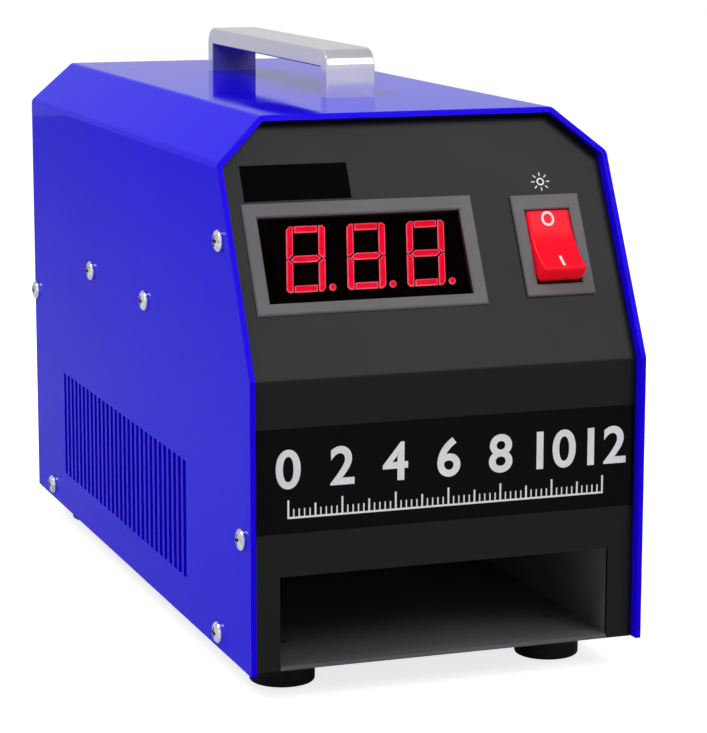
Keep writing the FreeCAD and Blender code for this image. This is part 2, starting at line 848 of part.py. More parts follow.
def rocker(reach, width, corner_angle, dish, trunnion):
    """A switch rocker in its middle position: x along its pins, y along its length.

    Its ends draw in towards the heel, so that they stay clear of the housing."""
    corner = math.radians(corner_angle)
    heel = math.radians(-rocker_heel)
    half = reach * math.cos(corner)
    crest = reach * math.sin(corner)

    def on_end(angle, side=1):
        radius = reach - rocker_draft * (corner - angle) / (corner - heel)
        return Vector(-width / 2, side * radius * math.cos(angle), radius * math.sin(angle))

    mid = (corner + heel) / 2
    low = on_end(heel)
    edges = [
        Part.Arc(Vector(-width / 2, -half, crest), Vector(-width / 2, 0, crest - dish),
                 Vector(-width / 2, half, crest)),
        Part.Arc(on_end(corner), on_end(mid), low),
        Part.LineSegment(low, on_end(heel, -1)),
        Part.Arc(on_end(heel, -1), on_end(mid, -1), on_end(corner, -1)),
    ]
    body = Part.Face(Part.Wire([edge.toShape() for edge in edges])).extrude(X * width)
    rims = [edge for edge in body.Edges if edge.BoundBox.ZMax > low.z + fit]
    body = body.makeChamfer(rocker_edge, rims)
    stub = plate(0, 0, width / 2, rocker_stub, low.z - rocker_stub, low.z)
    pin = rod(Vector(-width / 2 - trunnion, 0, 0), X, trunnion_diameter, width + 2 * trunnion)
    return fused(body, stub, pin)


def switch_body():
    """Width and length of the switch housing behind the panel."""
    return (rocker_width + 2 * (rocker_gap + switch_wall),
            2 * (rocker_reach + rocker_gap + switch_wall))


def make_exposure_switch():
    width, height = switch_body()
    lip = plate(0, rocker_drop, switch_width, switch_height, 0, switch_proud)
    body = plate(0, 0, width, height, -switch_depth, 0)
    well = plate(0, 0, rocker_width + 2 * rocker_gap, 2 * (rocker_reach + rocker_gap),
                 switch_wall - switch_depth, switch_proud + 1)
    reach = rocker_width / 2 + trunnion_length + rocker_gap
    bore = rod(Vector(-reach, 0, 0), X, trunnion_diameter + 2 * thread_gap, 2 * reach)
    spot = Placement(Vector(switch_x, switch_v - rocker_drop, 0), Rotation())
    frame = slope_frame.multiply(spot)
    housing = bevelled(cut(fused(lip, body), well, bore), switch_proud, switch_bevel)
    save("switch_frame", placed(housing, frame))
    key = rocker(rocker_reach, rocker_width, rocker_corner, rocker_dish, trunnion_length)
    tilt = Placement(Vector(), Rotation(X, -rocker_tilt))
    save("exposure_rocker", placed(key, frame.multiply(tilt)))
    blades = []
    for x in (-width / 4, width / 4):
        for y in (-height / 4, height / 4):
            blades.append(placed(box(x - blade_thickness / 2, x + blade_thickness / 2,
                                     y - blade_width / 2, y + blade_width / 2,
                                     -switch_depth - blade_length, -switch_depth), frame))
    save("switch_terminals", *blades)


def make_handle():
    rear = handle_front + handle_length
    top = cover_height + handle_height
    path = [(rear, cover_height), (rear, top), (handle_front, top), (handle_front, cover_height)]
    half = handle_width / 2
    bar = folded("x", -half, half, path, handle_bar, handle_bend - handle_bar)
    rims = [edge for edge in bar.Edges if edge.BoundBox.ZMax > cover_height + 1
            and edge.BoundBox.XLength < 0.01]
    bar = bar.makeChamfer(handle_edge, rims)
    under = cover_height - cover_sheet
    holes, screws, washers = [], [], []
    for y in handle_screw_places():
        place = Vector(0, y, under - washer_thickness)
        length = handle_screw_length
        holes.append(rod(Vector(0, y, cover_height - 1), Z, screw_diameter + thread_gap,
                         length - cover_sheet - washer_thickness + 2))
        screws.append(pan_head_screw(place, Z * -1, length))
        washers.append(rod(place, Z, washer_diameter, washer_thickness).cut(
            rod(place - Z, Z, screw_diameter + screw_play, 3)))
    save("carry_handle", cut(bar, *holes))
    save("handle_screws", *screws)
    save("handle_washers", *washers)


def fan_corners():
    half = fan_hole_spacing / 2
    return [Vector(a * half, fan_z + b * half, 0) for a in (-1, 1) for b in (-1, 1)]


def make_rear_panel():
    front = rear_face - sheet
    outer = inside_cover(fit, front, cover_length - 1)
    room = inside_cover(fit + sheet, rear_face, cover_length)
    room = room.common(box(-cover_width, cover_width, 0, cover_length, 2 * sheet, cover_height))
    notch = box(inner_half - sheet - bend_radius - fit, cover_width, front - 1, cover_length, -1,
                pan_lip + fit)
    floor = box(-cover_width, cover_width, 0, cover_length + 1, -1, sheet)
    panel = cut(outer, room, notch, mirrored(notch), floor)
    tools = [rod(Vector(0, fan_z, -2 * sheet), Z, fan_bore, 3 * sheet)]
    tools += [rod(spot - Z * 2 * sheet, Z, screw_diameter + screw_play, 3 * sheet)
              for spot in fan_corners()]
    tools.append(plate(0, inlet_z, inlet_body_width + fit, inlet_body_height + fit, -3, 3))
    tools += [rod(spot - Z * 2 * sheet, Z, screw_diameter + thread_gap, 3 * sheet)
              for spot in inlet_screw_places()]
    tools = [placed(tool, rear_frame) for tool in tools]
    tools += side_holes(("rear",), screw_diameter + thread_gap)
    save("rear_panel", cut(panel, *tools))


def make_fan():
    """Everything of the fan is drawn about its own axis and then set behind the rear panel."""
    inner = -sheet - fan_depth
    frame_block = rounded_plate(0, 0, fan_size, fan_size, inner, -sheet, fan_corner)
    waist = rod(Vector(0, 0, inner + fan_flange), Z, fan_waist, fan_depth - 2 * fan_flange)
    ring = frame_block.cut(rod(Vector(0, 0, inner - 1), Z, fan_bore, fan_depth + 2))
    corners = cut(plate(0, 0, fan_size + 2, fan_size + 2, inner + fan_flange, -sheet - fan_flange),
                  waist)
    ring = ring.cut(corners)
    holes = [rod(spot + Z * (inner - 1) - Vector(0, fan_z, 0), Z, screw_diameter + screw_play,
                 fan_depth + 2) for spot in fan_corners()]
    base = rod(Vector(0, 0, inner), Z, hub_diameter, strut_depth)
    struts = []
    for i in range(strut_count):
        strut = box(-strut_width / 2, strut_width / 2, 0, (fan_bore + fan_size) / 4,
                    inner, inner + strut_depth)
        angle = (i + 0.5) * 360 / strut_count
        struts.append(placed(strut, Placement(Vector(), Rotation(Z, angle))))
    bearing = rod(Vector(0, 0, inner), Z, bearing_diameter, bearing_length)
    bore = rod(Vector(0, 0, inner + 1), Z, shaft_diameter + 2 * shaft_gap, fan_depth)
    body = cut(fused(ring, base, bearing, *struts), bore, *holes)
    spot = rear_frame.multiply(Placement(Vector(0, fan_z, 0), Rotation()))
    save("fan_frame", placed(body, spot))
    save("fan_rotor", placed(rotor(inner), spot))
    screws, nuts = [], []
    for corner in fan_corners():
        seat = corner + Z * guard_wire
        length = guard_wire + sheet + fan_depth + nut_height + screw_tail
        screws.append(placed(pan_head_screw(seat, Z, length), rear_frame))
        hexagon = [(corner.x + nut_across / math.sqrt(3) * math.cos(math.radians(60 * k)),
                    corner.y + nut_across / math.sqrt(3) * math.sin(math.radians(60 * k)))
                   for k in range(6)]
        nut = prism("z", inner - nut_height, inner, hexagon)
        nut = nut.cut(rod(corner + Z * (inner - nut_height - 1), Z,
                          screw_diameter + thread_gap, nut_height + 2))
        nuts.append(placed(nut, rear_frame))
    save("fan_screws", *screws)
    save("fan_nuts", *nuts)
    save("fan_guard", placed(guard(), spot))


def rotor(inner):
    """Hub cup with its shaft and a ring of pitched blades, trimmed to a cylinder."""
    low = inner + strut_depth + hub_gap
    high = -sheet - rotor_inset
    hub = rod(Vector(0, 0, low), Z, hub_diameter, high - low)
    hollow = rod(Vector(0, 0, low - 1), Z, hub_diameter - 2 * hub_wall, high - low - hub_wall + 1)
    hub = hub.cut(hollow)
    shaft = rod(Vector(0, 0, inner + sheet), Z, shaft_diameter, high - hub_wall / 2 - inner - sheet)
    root, tip = hub_diameter / 2 - hub_wall / 2, fan_bore / 2 - blade_clearance
    sweep = rod(Vector(0, 0, low), Z, 2 * tip, high - low)
    wires = []
    for radius, pitch, chord in ((root, root_pitch, root_chord), (tip + 2, tip_pitch, tip_chord)):
        turn = math.radians(pitch)
        along = Vector(0, math.cos(turn), math.sin(turn)) * (chord / 2)
        across = Vector(0, -math.sin(turn), math.cos(turn)) * (fan_blade_sheet / 2)
        centre = Vector(radius, 0, (low + high) / 2)
        corners = [centre + along + across, centre - along + across,
                   centre - along - across, centre + along - across]
        wires.append(Part.makePolygon(corners + corners[:1]))
    blade = Part.makeLoft(wires, True, True).common(sweep)
    blades = [placed(blade, Placement(Vector(), Rotation(Z, 360.0 * k / blade_count)))
              for k in range(blade_count)]
    return fused(hub, shaft, *blades)


def guard():
    """Finger guard: rings of wire on four arms that end in the screw eyes."""
    reach = fan_hole_spacing / math.sqrt(2)
    arms, eyes, holes = [], [], []
    for k in range(4):
        turn = Placement(Vector(), Rotation(Z, 45 + 90 * k))
        arms.append(placed(box(0, reach - screw_diameter, -guard_wire / 2, guard_wire / 2,
                               0, guard_wire), turn))
        eyes.append(placed(rod(Vector(reach, 0, 0), Z, guard_eye, guard_wire), turn))
        holes.append(placed(rod(Vector(reach, 0, -1), Z, screw_diameter + screw_play, 4), turn))
    rings = []
    for k in range(guard_rings):
        radius = (k + 0.5) * fan_bore / 2 / guard_rings + guard_wire
        outer = rod(Vector(0, 0, guard_wire), Z, 2 * radius + guard_wire, guard_wire)
        rings.append(outer.cut(rod(Vector(0, 0, guard_wire), Z, 2 * radius - guard_wire,
                                   guard_wire)))
    return cut(fused(arms[0], *(arms[1:] + eyes + rings)), *holes)


def inlet_screw_places():
    half = inlet_screw_spacing / 2
    return [Vector(side * half, inlet_z, 0) for side in (-1, 1)]


def make_inlet():
    """The combined mains module: rocker above, socket in the middle, fuse drawer below."""
    flange = rounded_plate(0, 0, inlet_width, inlet_height, 0, inlet_flange, inlet_corner)
    body = plate(0, 0, inlet_body_width, inlet_body_height, -inlet_depth, 0)
    a, b, bevel = socket_width / 2, socket_height / 2, socket_bevel
    outline = [(-a, socket_z + b), (-a, socket_z - b + bevel), (-a + bevel, socket_z - b),
               (a - bevel, socket_z - b), (a, socket_z - b + bevel), (a, socket_z + b)]
    well = prism("z", inlet_flange - socket_bottom, inlet_flange + 1, outline)
    play = 2 * drawer_play
    tunnel = plate(0, drawer_z, drawer_width + play, drawer_height + play,
                   inlet_flange - drawer_depth - play, inlet_flange + 1)
    room = plate(0, power_rocker_z, 2 * (power_rocker_reach + rocker_gap),
                 power_rocker_width + 2 * rocker_gap, -power_switch_depth, inlet_flange + 1)
    reach = power_rocker_width / 2 + trunnion_length + rocker_gap
    bore = rod(Vector(0, power_rocker_z - reach, pivot_height()), Y,
               trunnion_diameter + 2 * thread_gap, 2 * reach)
    holes = [rod(spot - Vector(0, inlet_z, 1), Z, screw_diameter + screw_play, inlet_flange + 2)
             for spot in inlet_screw_places()]
    spot = rear_frame.multiply(Placement(Vector(0, inlet_z, 0), Rotation()))
    save("inlet_module", placed(cut(fused(flange, body), well, tunnel, room, bore, *holes), spot))
    floor = inlet_flange - socket_bottom
    pins = []
    for x, z in ((-pin_spacing, -pin_rise), (pin_spacing, -pin_rise), (0, pin_rise)):
        pins.append(placed(plate(x, socket_z + z, pin_thickness, pin_width, floor,
                                 floor + pin_length), spot))
    save("inlet_pins", *pins)
    make_fuse_drawer(spot)
    key = rocker(power_rocker_reach, power_rocker_width, power_rocker_corner, power_rocker_dish,
                 trunnion_length)
    tilt = Placement(Vector(0, power_rocker_z, pivot_height()),
                     Rotation(Z, 90).multiply(Rotation(X, -power_rocker_tilt)))
    save("power_rocker", placed(key, spot.multiply(tilt)))
    screws = [placed(pan_head_screw(place + Z * inlet_flange, Z, screw_length), rear_frame)
              for place in inlet_screw_places()]
    save("inlet_screws", *screws)


def pivot_height():
    """How far the power rocker's pins lie above the rear panel."""
    return inlet_flange - trunnion_diameter


def make_fuse_drawer(spot):
    low = inlet_flange - drawer_depth
    body = plate(0, drawer_z, drawer_width, drawer_height, low, inlet_flange)
    face = plate(0, drawer_z, drawer_width + 2 * drawer_lip, drawer_height + 2 * drawer_lip,
                 inlet_flange, inlet_flange + drawer_face)
    half = drawer_width / 2 - drawer_wall
    top = drawer_z + drawer_height / 2
    trough = box(-half, half, top - drawer_height + drawer_wall, top + 1,
                 low + drawer_wall, inlet_flange - drawer_wall)
    save("fuse_drawer", placed(cut(fused(body, face), trough), spot))
    rest = top - drawer_height + drawer_wall + fuse_diameter / 2
    start = (low + inlet_flange) / 2 - fuse_length / 2
    glass = rod(Vector(0, rest, start + fuse_cap), Z, fuse_diameter - fit,
                fuse_length - 2 * fuse_cap)
    caps = [rod(Vector(0, rest, start), Z, fuse_diameter, fuse_cap),
            rod(Vector(0, rest, start + fuse_length - fuse_cap), Z, fuse_diameter, fuse_cap)]
    save("fuse_glass", placed(glass, spot))
    save("fuse_caps", *[placed(cap, spot) for cap in caps])


make_cover()
make_front_panel()
make_label_strip()
make_base_pan()
make_feet()
make_side_screws()
make_chamber()
make_reflector()
make_lamps()
make_shelf()
make_capacitors()
make_boards()
make_transformer()
make_display()
make_exposure_switch()
make_handle()
make_rear_panel()
make_fan()
make_inlet()
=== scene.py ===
import json
import math

import bmesh
import bpy
from mathutils import Matrix, Vector
from mathutils.bvhtree import BVHTree


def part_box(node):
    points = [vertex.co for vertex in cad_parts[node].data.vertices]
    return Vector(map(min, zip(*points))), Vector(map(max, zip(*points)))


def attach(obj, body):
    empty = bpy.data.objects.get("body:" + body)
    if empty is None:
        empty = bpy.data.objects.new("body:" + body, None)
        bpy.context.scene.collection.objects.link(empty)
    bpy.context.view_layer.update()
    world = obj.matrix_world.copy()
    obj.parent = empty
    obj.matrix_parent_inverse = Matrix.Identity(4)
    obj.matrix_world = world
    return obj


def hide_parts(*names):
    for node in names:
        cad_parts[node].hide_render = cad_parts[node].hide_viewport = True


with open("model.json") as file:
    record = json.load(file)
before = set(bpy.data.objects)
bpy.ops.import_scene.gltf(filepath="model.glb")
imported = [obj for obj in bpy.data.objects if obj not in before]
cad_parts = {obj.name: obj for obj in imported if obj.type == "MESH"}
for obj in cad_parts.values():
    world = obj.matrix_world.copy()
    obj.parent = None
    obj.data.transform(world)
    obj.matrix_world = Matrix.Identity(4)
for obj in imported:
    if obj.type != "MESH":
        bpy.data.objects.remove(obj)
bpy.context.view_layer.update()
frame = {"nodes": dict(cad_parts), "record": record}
nodes = frame["nodes"]
MM = 0.001

# The camera, from the corners of the cover in the photograph
EYE = Vector((-0.3486, -1.0292, 0.2907))
YAW = math.radians(19.73)
PITCH = math.radians(10.44)
ROLL = math.radians(0.08)
FOCAL = 132.86
SENSOR = 36.0

# The sloping front panel: its own frame has x to the right, y up the slope and z out of it
SLOPE_LEAN = math.atan2(45.5, 192.0 - 104.8)
SLOPE_FOOT = Vector((0.0, 4.0 - 161.0, 103.819 + 12.5)) * MM


def srgb(red, green, blue):
    """A colour as it looks on screen, 0 to 255, as the linear values that shaders take."""
    def linear(level):
        level /= 255
        return level / 12.92 if level <= 0.04045 else ((level + 0.055) / 1.055) ** 2.4
    return tuple(linear(level) for level in (red, green, blue)) + (1.0,)


class Finish:
    """A material under construction: a Principled shader and the nodes that drive it."""

    def __init__(self, name, roughness=0.5, metallic=0.0, ior=1.45, specular=0.5):
        self.material = bpy.data.materials.new(name)
        self.material.use_nodes = True
        self.tree = self.material.node_tree
        self.shader = self.tree.nodes["Principled BSDF"]
        self.place = self.add("ShaderNodeTexCoord").outputs["Object"]
        self.height = None
        self.set("Roughness", roughness)
        self.set("Metallic", metallic)
        self.set("IOR", ior)
        self.set("Specular IOR Level", specular)

    def add(self, kind, **settings):
        node = self.tree.nodes.new(kind)
        for key, value in settings.items():
            setattr(node, key, value)
        return node

    def set(self, socket, value):
        self.shader.inputs[socket].default_value = value

    def link(self, source, target):
        self.tree.links.new(source, target)

    def noise(self, scale, detail=3.0, stretch=(1.0, 1.0, 1.0), rough=0.5):
        """Cloudy values from 0 to 1; stretch makes them longer along an axis when under 1."""
        mapping = self.add("ShaderNodeMapping")
        mapping.inputs["Scale"].default_value = stretch
        self.link(self.place, mapping.inputs["Vector"])
        texture = self.add("ShaderNodeTexNoise")
        texture.inputs["Scale"].default_value = scale
        texture.inputs["Detail"].default_value = detail
        texture.inputs["Roughness"].default_value = rough
        self.link(mapping.outputs["Vector"], texture.inputs["Vector"])
        return texture.outputs["Fac"]

    def ramp(self, value, low, high, start=0.35, end=0.65):
        """Spreads a value between start and end over low to high."""
        span = self.add("ShaderNodeMapRange")
        span.inputs["From Min"].default_value = start
        span.inputs["From Max"].default_value = end
        span.inputs["To Min"].default_value = low
        span.inputs["To Max"].default_value = high
        self.link(value, span.inputs["Value"])
        return span.outputs["Result"]

    def combine(self, operation, first, second):
        joint = self.add("ShaderNodeMath", operation=operation)
        self.link(first, joint.inputs[0])
        self.link(second, joint.inputs[1])
        return joint.outputs[0]

    def blend(self, value, first, second):
        mix = self.add("ShaderNodeMix", data_type="RGBA")
        self.link(value, mix.inputs["Factor"])
        for socket, colour in ((mix.inputs[6], first), (mix.inputs[7], second)):
            if isinstance(colour, tuple):
                socket.default_value = colour
            else:
                self.link(colour, socket)
        return mix.outputs[2]

    def colours(self, first, second, scale=30.0, detail=4.0, stretch=(1.0, 1.0, 1.0)):
        """Colour that drifts between two tones."""
        drift = self.ramp(self.noise(scale, detail, stretch), 0.0, 1.0)
        colour = self.blend(drift, first, second)
        self.link(colour, self.shader.inputs["Base Color"])
        return colour

    def sheen_marks(self, low, high, scale=60.0, stretch=(1.0, 1.0, 1.0)):
        """Roughness that drifts, as handled and wiped surfaces have it."""
        value = self.ramp(self.noise(scale, 5.0, stretch), low, high)
        self.link(value, self.shader.inputs["Roughness"])

    def relief(self, scale, depth, detail=2.0, stretch=(1.0, 1.0, 1.0), strength=1.0):
        """Fine height of the surface, depth in metres."""
        bump = self.add("ShaderNodeBump")
        bump.inputs["Distance"].default_value = depth
        bump.inputs["Strength"].default_value = strength
        self.link(self.noise(scale, detail, stretch), bump.inputs["Height"])
        if self.height:
            self.link(self.height, bump.inputs["Normal"])
        self.height = bump.outputs["Normal"]
        self.link(self.height, self.shader.inputs["Normal"])


def blue_paint():
    paint = Finish("blue_paint", roughness=0.05, ior=1.08)
    paint.colours(srgb(26, 2, 234), srgb(31, 3, 240), scale=9.0)
    paint.sheen_marks(0.03, 0.07, scale=35.0)
    paint.relief(260.0, 0.0000012, detail=1.0)
    return paint.material


def black_paint():
    paint = Finish("black_paint", roughness=0.36, specular=0.21)
    paint.colours(srgb(13, 12, 13), srgb(16, 15, 16), scale=16.0)
    paint.sheen_marks(0.34, 0.38, scale=30.0)
    paint.relief(2200.0, 0.00001, detail=3.0)
    return paint.material


def chamber_paint():
    """The dull dark grey of the exposure chamber and the pan under it."""
    paint = Finish("chamber_paint", roughness=0.6, specular=0.3)
    paint.colours(srgb(88, 86, 89), srgb(98, 96, 99), scale=14.0)
    paint.sheen_marks(0.5, 0.68, scale=30.0)
    paint.relief(1800.0, 0.00001, detail=3.0)
    return paint.material


def zinc_steel():
    metal = Finish("zinc_steel", metallic=1.0)
    metal.colours(srgb(178, 184, 190), srgb(150, 158, 168), scale=45.0)
    metal.sheen_marks(0.28, 0.45, scale=70.0)
    metal.relief(1500.0, 0.000015, stretch=(1.0, 0.1, 1.0))
    return metal.material


def screw_chrome():
    metal = Finish("screw_chrome", metallic=1.0)
    metal.colours(srgb(244, 244, 250), srgb(206, 206, 214), scale=420.0)
    metal.sheen_marks(0.12, 0.2, scale=500.0)
    metal.relief(700.0, 0.00002)
    return metal.material


def screw_recess_shade():
    """The cross of a screw in a dull dark grey: painted shade in the recess."""
    metal = Finish("screw_recess_shade", metallic=0.6)
    metal.colours(srgb(52, 50, 54), srgb(30, 29, 32), scale=600.0)
    metal.sheen_marks(0.4, 0.6, scale=500.0)
    metal.relief(2500.0, 0.00001)
    return metal.material


def black_steel():
    metal = Finish("black_steel", roughness=0.4)
    metal.colours(srgb(24, 24, 26), srgb(40, 40, 42), scale=200.0)
    metal.sheen_marks(0.3, 0.5, scale=300.0)
    metal.relief(2500.0, 0.00001)
    return metal.material


def foot_rubber():
    rubber = Finish("foot_rubber", roughness=0.75, specular=0.3)
    rubber.colours(srgb(13, 13, 14), srgb(22, 22, 23), scale=60.0)
    rubber.sheen_marks(0.65, 0.85, scale=90.0)
    rubber.relief(1600.0, 0.00004, detail=4.0)
    return rubber.material


def clear_glass(name, tint, roughness):
    glass = Finish(name, roughness=roughness, ior=1.45)
    glass.set("Transmission Weight", 1.0)
    glass.colours(tint, tuple(channel * 0.94 for channel in tint[:3]) + (1.0,), scale=12.0)
    glass.relief(25.0, 0.00001)
    return glass.material


def mirror_sheet():
    metal = Finish("mirror_sheet", metallic=1.0)
    metal.colours(srgb(232, 232, 234), srgb(214, 214, 218), scale=40.0)
    metal.sheen_marks(0.08, 0.22, scale=50.0)
    metal.relief(1800.0, 0.00001, stretch=(0.05, 1.0, 1.0))
    return metal.material


def ceramic():
    clay = Finish("ceramic", roughness=0.6)
    clay.colours(srgb(232, 228, 216), srgb(220, 214, 200), scale=120.0)
    clay.sheen_marks(0.5, 0.7, scale=200.0)
    clay.relief(1500.0, 0.00003, detail=4.0)
    return clay.material


SATIN_METAL = 0.55


def handle_silver():
    """Satin silver, duller on the inner side, which faces the gap for the fingers; there it is darkened with
    painted shade and tinted with a painted reflection of the blue cover.
    """
    metal = Finish("handle_silver", specular=0.3)
    low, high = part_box("carry_handle")
    gap = Vector((0.0, (low.y + high.y) / 2, low.z))
    inward = metal.add("ShaderNodeVectorMath", operation="SUBTRACT")
    inward.inputs[0].default_value = gap
    metal.link(metal.place, inward.inputs[1])
    facing = metal.add("ShaderNodeVectorMath", operation="DOT_PRODUCT")
    metal.link(metal.add("ShaderNodeTexCoord").outputs["Normal"], facing.inputs[0])
    metal.link(inward.outputs["Vector"], facing.inputs[1])
    # Mask of the inner side, which takes painted shade and a painted reflection of the blue cover
    inner = metal.ramp(facing.outputs["Value"], 0.0, 1.0, start=0.0, end=0.002)
    drift = metal.ramp(metal.noise(40.0, 4.0, (1.0, 0.1, 1.0)), 0.0, 1.0)
    outer = metal.blend(drift, srgb(226, 224, 232), srgb(216, 214, 224))
    # Painted shade and painted reflection: the inner side takes a dark blue-grey instead of the silver
    colour = metal.blend(inner, outer, srgb(108, 101, 172))
    metal.link(colour, metal.shader.inputs["Base Color"])
    metal.link(metal.ramp(inner, SATIN_METAL, 0.0, start=0.0, end=1.0), metal.shader.inputs["Metallic"])
    polish = metal.ramp(metal.noise(60.0, 5.0, (1.0, 0.1, 1.0)), 0.09, 0.13)
    dull = metal.combine("MAXIMUM", metal.ramp(inner, 0.0, 0.6, start=0.0, end=1.0), polish)
    metal.link(dull, metal.shader.inputs["Roughness"])
    metal.relief(1200.0, 0.0000004, stretch=(1.0, 0.03, 1.0))
    return metal.material


def moulded(name, tone, grain=0.00002, roughness=0.45, specular=0.4):
    """Moulded plastic: a drifting tone, a fine eroded grain and slightly uneven gloss."""
    plastic = Finish(name, roughness=roughness, specular=specular)
    darker = tuple(channel * 0.86 for channel in tone[:3]) + (1.0,)
    plastic.colours(darker, tone, scale=35.0)
    plastic.sheen_marks(roughness * 0.88, roughness * 1.15, scale=90.0)
    plastic.relief(3000.0, grain, detail=3.0)
    return plastic.material


def rocker_red():
    """Translucent red moulding with a faint glow that brightens its red: painted light, not a lamp."""
    plastic = Finish("red_plastic", roughness=0.3, specular=0.16)
    plastic.colours(srgb(236, 6, 34), srgb(248, 10, 40), scale=40.0)
    plastic.sheen_marks(0.26, 0.34, scale=90.0)
    plastic.relief(2600.0, 0.000003)
    # Painted light: a faint red glow that makes the moulding brighter
    plastic.set("Emission Color", srgb(255, 8, 36))
    plastic.set("Emission Strength", 0.2)
    return plastic.material


def digit_face():
    """The dull black face that the segments are set in."""
    plastic = Finish("digit_face", roughness=0.8, specular=0.03)
    plastic.colours(srgb(5, 5, 6), srgb(8, 8, 9), scale=60.0)
    plastic.sheen_marks(0.75, 0.9, scale=90.0)
    plastic.relief(2000.0, 0.00001)
    return plastic.material


def window_pane():
    pane = Finish("window_pane", roughness=0.0, ior=1.02)
    pane.set("Transmission Weight", 1.0)
    pane.colours(srgb(196, 150, 156), srgb(188, 142, 148), scale=20.0)
    return pane.material


def lit_segment(name, tone, paler, strength):
    """A lit red diffuser."""
    light = Finish(name, roughness=0.35, specular=0.1)
    light.set("Base Color", srgb(90, 6, 20))
    uneven = light.ramp(light.noise(320.0, 2.0), 0.0, 1.0)
    glow = light.blend(uneven, tone, paler)
    light.link(glow, light.shader.inputs["Emission Color"])
    light.set("Emission Strength", strength)
    return light.material


def label_film():
    film = Finish("label_film", roughness=0.2, specular=0.06)
    film.colours(srgb(7, 6, 8), srgb(9, 8, 10), scale=20.0)
    film.sheen_marks(0.16, 0.26, scale=30.0)
    film.relief(60.0, 0.00001)
    return film.material


def plate_black():
    film = Finish("plate_black", roughness=0.5, specular=0.01)
    film.colours(srgb(3, 3, 4), srgb(6, 5, 6), scale=30.0)
    film.sheen_marks(0.4, 0.6, scale=40.0)
    film.relief(900.0, 0.000002)
    return film.material


def board_green():
    board = Finish("board_green", roughness=0.3)
    board.colours(srgb(10, 92, 44), srgb(18, 118, 60), scale=240.0, detail=6.0)
    board.sheen_marks(0.25, 0.4, scale=200.0)
    board.relief(700.0, 0.00002, detail=4.0)
    return board.material


def coil_tape():
    tape = Finish("coil_tape", roughness=0.25)
    tape.colours(srgb(222, 166, 40), srgb(190, 132, 24), scale=90.0)
    tape.sheen_marks(0.2, 0.35, scale=80.0)
    tape.relief(900.0, 0.00004, stretch=(1.0, 1.0, 0.05))
    return tape.material


def core_steel():
    metal = Finish("core_steel", roughness=0.5, metallic=0.8)
    metal.colours(srgb(96, 92, 88), srgb(58, 54, 52), scale=90.0, stretch=(12.0, 1.0, 1.0))
    metal.sheen_marks(0.4, 0.6, scale=90.0)
    metal.relief(600.0, 0.00006, stretch=(4.0, 0.05, 0.05))
    return metal.material


def brass():
    metal = Finish("brass", metallic=1.0)
    metal.colours(srgb(214, 182, 110), srgb(188, 150, 82), scale=120.0)
    metal.sheen_marks(0.2, 0.38, scale=200.0)
    metal.relief(1500.0, 0.00001)
    return metal.material


def white_print():
    ink = Finish("white_print", roughness=0.5)
    ink.colours(srgb(236, 236, 238), srgb(226, 226, 230), scale=150.0)
    ink.sheen_marks(0.42, 0.55, scale=200.0)
    ink.relief(2500.0, 0.00001)
    return ink.material


def slope_matrix(x=0.0, up=0.0, out=0.0):
    """A frame on the sloping panel, this far from the middle of its foot, in millimetres."""
    turn = Matrix.Rotation(math.radians(90) - SLOPE_LEAN, 4, "X")
    return Matrix.Translation(SLOPE_FOOT) @ turn @ Matrix.Translation(Vector((x, up, out)) * MM)


def make_materials():
    """One material for each slot of the record."""
    return {
        "blue_paint": blue_paint(),
        "black_paint": black_paint(),
        "zinc_steel": zinc_steel(),
        "screw_chrome": screw_chrome(),
        "black_steel": black_steel(),
        "foot_rubber": foot_rubber(),
        "chamber_glass": clear_glass("chamber_glass", srgb(226, 240, 234), 0.02),
        "tube_glass": clear_glass("tube_glass", srgb(240, 240, 244), 0.05),
        "mirror_sheet": mirror_sheet(),
        "ceramic": ceramic(),
        "handle_silver": handle_silver(),
        "grey_plastic": moulded("grey_plastic", srgb(113, 110, 114), grain=0.000006, specular=0.12),
        "black_plastic": moulded("black_plastic", srgb(20, 20, 22), grain=0.00001),
        "red_plastic": rocker_red(),
        "window_pane": window_pane(),
        "digit_light": lit_segment("digit_light", srgb(240, 8, 52), srgb(248, 22, 70), 1.6),
        "label_film": label_film(),
        "board_green": board_green(),
        "coil_tape": coil_tape(),
        "core_steel": core_steel(),
        "can_sleeve": moulded("can_sleeve", srgb(24, 34, 74), grain=0.00001, roughness=0.25),
        "fan_plastic": moulded("fan_plastic", srgb(26, 26, 28), grain=0.00003, roughness=0.5),
        "brass": brass(),
        "blue_plastic": moulded("blue_plastic", srgb(38, 92, 190), roughness=0.35),
    }


OWN_FINISH = {"chamber_hood": "chamber_paint", "base_pan": "chamber_paint", "digit_blocks": "digit_face"}

SOFT_RIMS = {
    "carry_handle": 0.5,
    "inlet_module": 0.4,
    "fuse_drawer": 0.25,
}


def dress_nodes():
    """Gives every node its material and softens the rims of the mouldings and the handle."""
    for row in frame["record"]["subparts"]:
        mesh = nodes[row["node"]].data
        mesh.materials.clear()
        mesh.materials.append(materials[OWN_FINISH.get(row["node"], row["material_slot"])])
    for name, width in SOFT_RIMS.items():
        rim = nodes[name].modifiers.new("soft rim", "BEVEL")
        rim.width = width * MM
        rim.segments = 3
        rim.limit_method = "ANGLE"
        rim.angle_limit = math.radians(35)


def add_object(name, mesh, finishes, body):
    """A piece that rides on a body; finishes names its materials in the order of their numbers."""
    piece = bpy.data.objects.new(name, mesh)
    bpy.context.scene.collection.objects.link(piece)
    numbers = [polygon.material_index for polygon in mesh.polygons]
    mesh.materials.clear()
    for finish in finishes:
        mesh.materials.append(materials[finish])
    mesh.polygons.foreach_set("material_index", numbers)
    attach(piece, body)
    return piece


